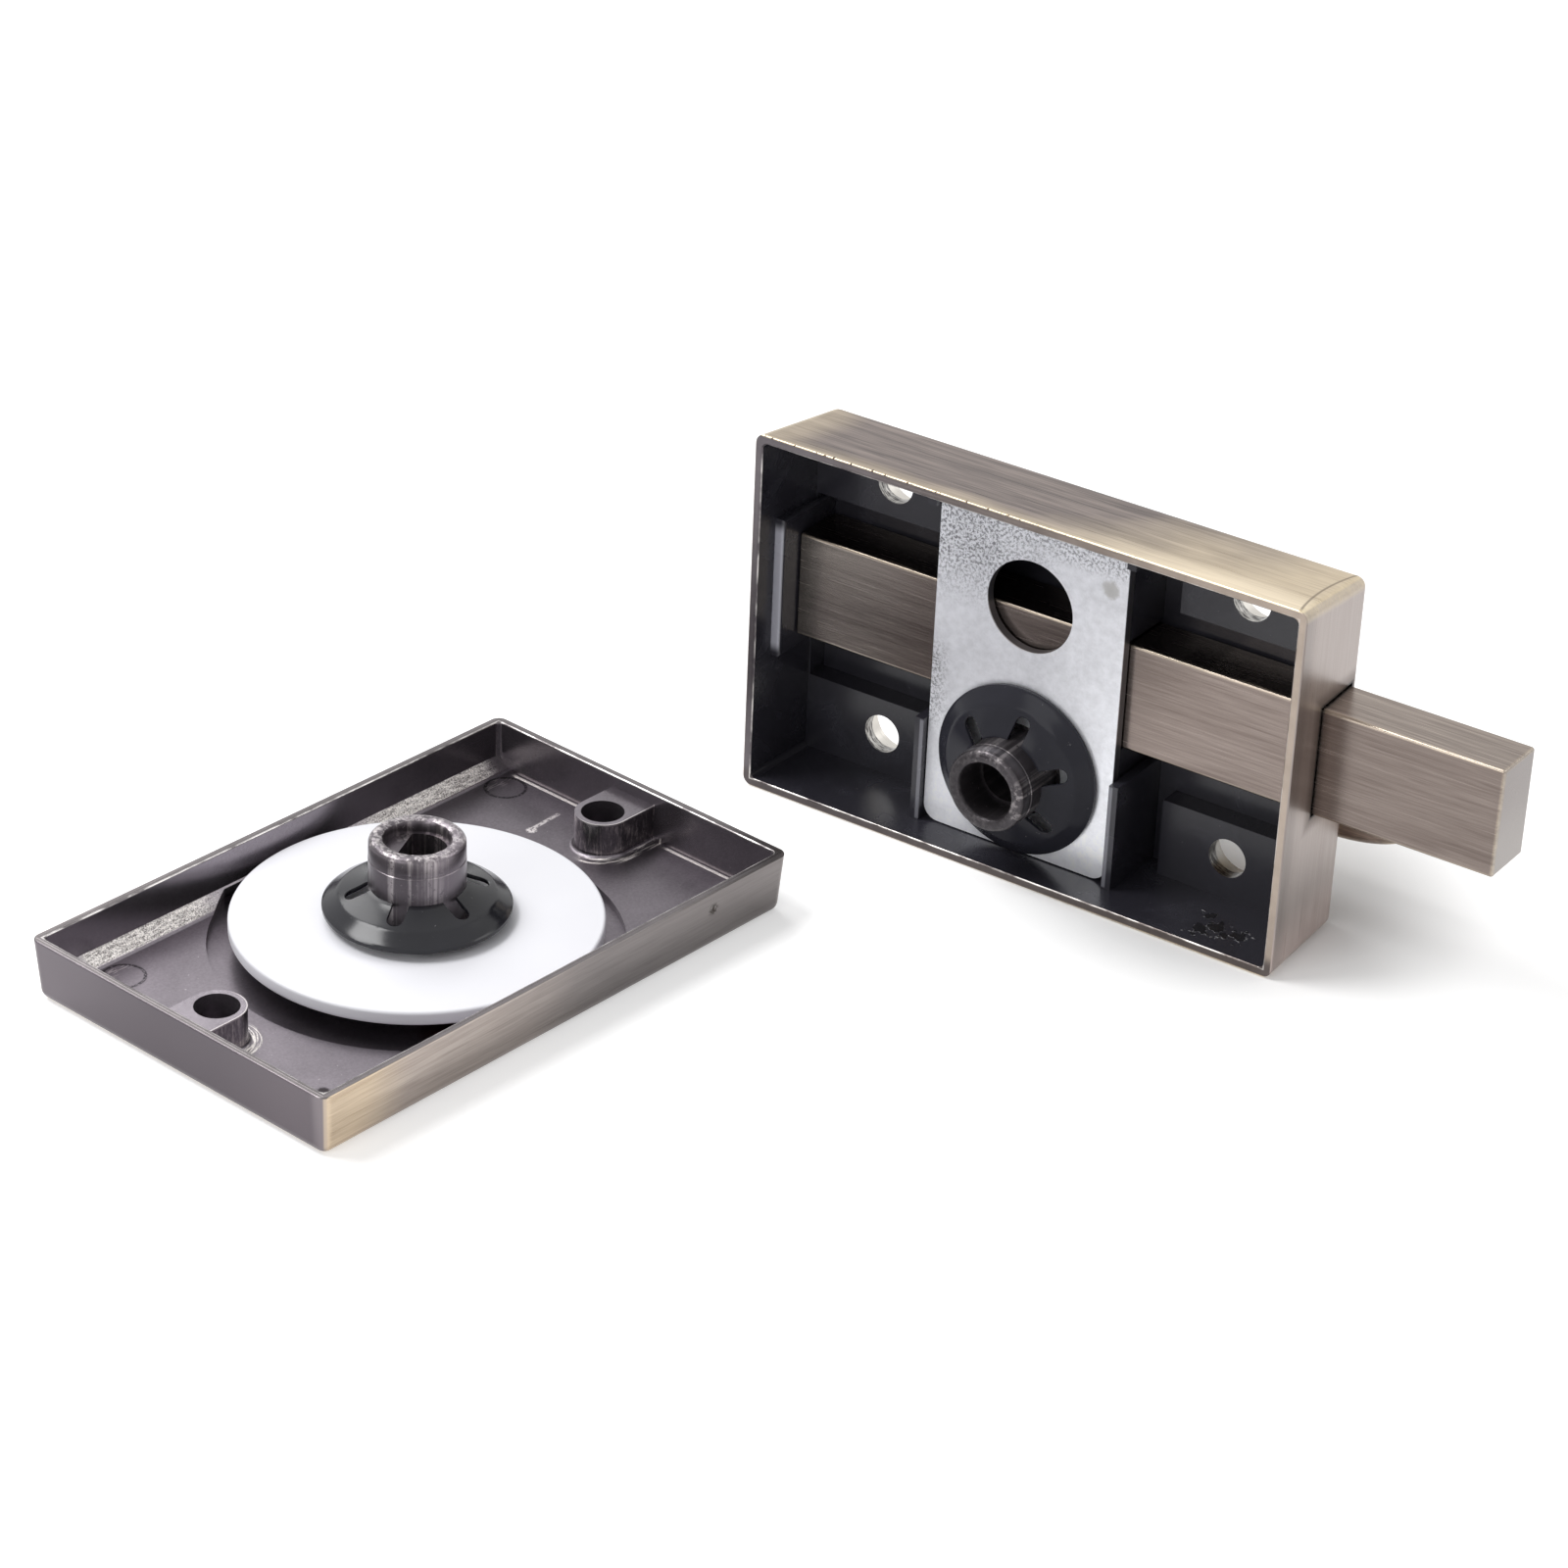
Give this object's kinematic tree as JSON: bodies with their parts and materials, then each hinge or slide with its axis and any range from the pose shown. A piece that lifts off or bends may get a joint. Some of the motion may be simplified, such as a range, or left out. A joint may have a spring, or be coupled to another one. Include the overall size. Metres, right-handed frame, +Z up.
{
  "type": "indicator bolt",
  "caption": "Cubicle door bolt in two cast halves laid apart: a case with a sliding bolt worked by a turn lever, and a shallow tray with an indicator disc.",
  "frame": {"origin": "middle of the ground under both halves, in the plane that they rest on", "axes": "+X along the bolt case's length, the way the bolt slides out; +Y from its open rim to its face; +Z up"},
  "size_m": [0.1632, 0.152, 0.059],
  "materials": {
    "antique_brass": "brushed antique finish over a zinc casting",
    "galvanised_steel": "zinc plated sheet",
    "dark_steel": "dark, worn bright at its edges",
    "black_steel": "black spring steel",
    "nylon": "moulded nylon",
    "white_disc": "smooth white",
    "green_field": "printed field",
    "red_field": "printed field",
    "clear_lens": "clear acrylic"
  },
  "bodies": {
    "housings": {"bolt_case": "antique_brass", "retaining_plate": "galvanised_steel", "hub_bush": "nylon", "friction_washer": "galvanised_steel", "indicator_case": "antique_brass", "window_lens": "clear_lens", "thrust_washer": "nylon"},
    "lever": {"drive_shaft": "dark_steel", "drive_crank": "dark_steel", "bolt_push_washer": "black_steel", "turn_lever": "antique_brass", "lever_grub_screw": "black_steel"},
    "bolt": {"sliding_bolt": "antique_brass"},
    "indicator": {"indicator_disc": "white_disc", "vacant_label": "green_field", "engaged_label": "red_field", "release_shaft": "dark_steel", "disc_push_washer": "black_steel"}
  },
  "joints": [
    {"name": "lever_turn", "type": "hinge", "parent": "housings", "child": "lever", "pos_m": [0.00522, 0.04328, 0.0154], "axis": [0, 1, 0], "range_deg": [0, 90]},
    {"name": "bolt_slide", "type": "slide", "parent": "housings", "child": "bolt", "axis": [1, 0, 0], "range_m": [0, 0.01848]},
    {"name": "indicator_turn", "type": "hinge", "parent": "housings", "child": "indicator", "pos_m": [-0.04721, -0.02661, 0], "axis": [0, 0, 1], "range_deg": [0, 90]}
  ],
  "couplings": [
    {"joint": "bolt_slide", "follows": "lever_turn", "m_per_rad": 0.011704}
  ]
}
